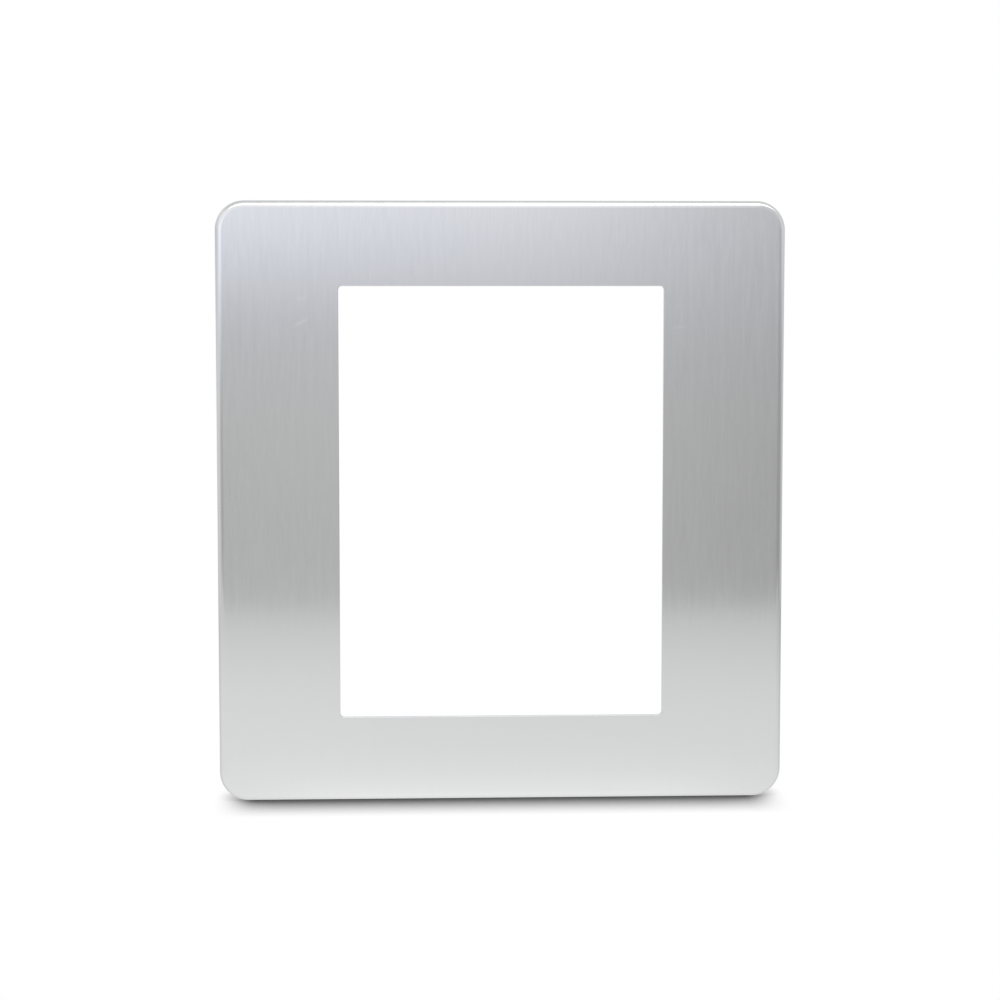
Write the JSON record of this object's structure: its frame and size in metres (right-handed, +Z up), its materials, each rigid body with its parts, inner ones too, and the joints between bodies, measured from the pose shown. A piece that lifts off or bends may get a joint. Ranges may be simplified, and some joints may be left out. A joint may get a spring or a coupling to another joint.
{
  "type": "switch plate",
  "caption": "Upright wall plate that clips over switch modules: pressed brushed steel face with rolled edges and a large aperture, backed by a moulded frame with snap hooks.",
  "frame": {"origin": "centre of the rim that meets the wall, on the wall plane", "axes": "+Z up, +X to the right as seen from the room, +Y back into the wall, so the face looks along -Y"},
  "size_m": [0.1186, 0.008, 0.1254],
  "materials": {
    "face_sheet": "fine vertical brushing with a clear satin sheen",
    "clip_moulding": "fine spark-eroded matte"
  },
  "bodies": {
    "root": {"face_plate": "face_sheet", "clip_frame": "clip_moulding"}
  },
  "joints": []
}
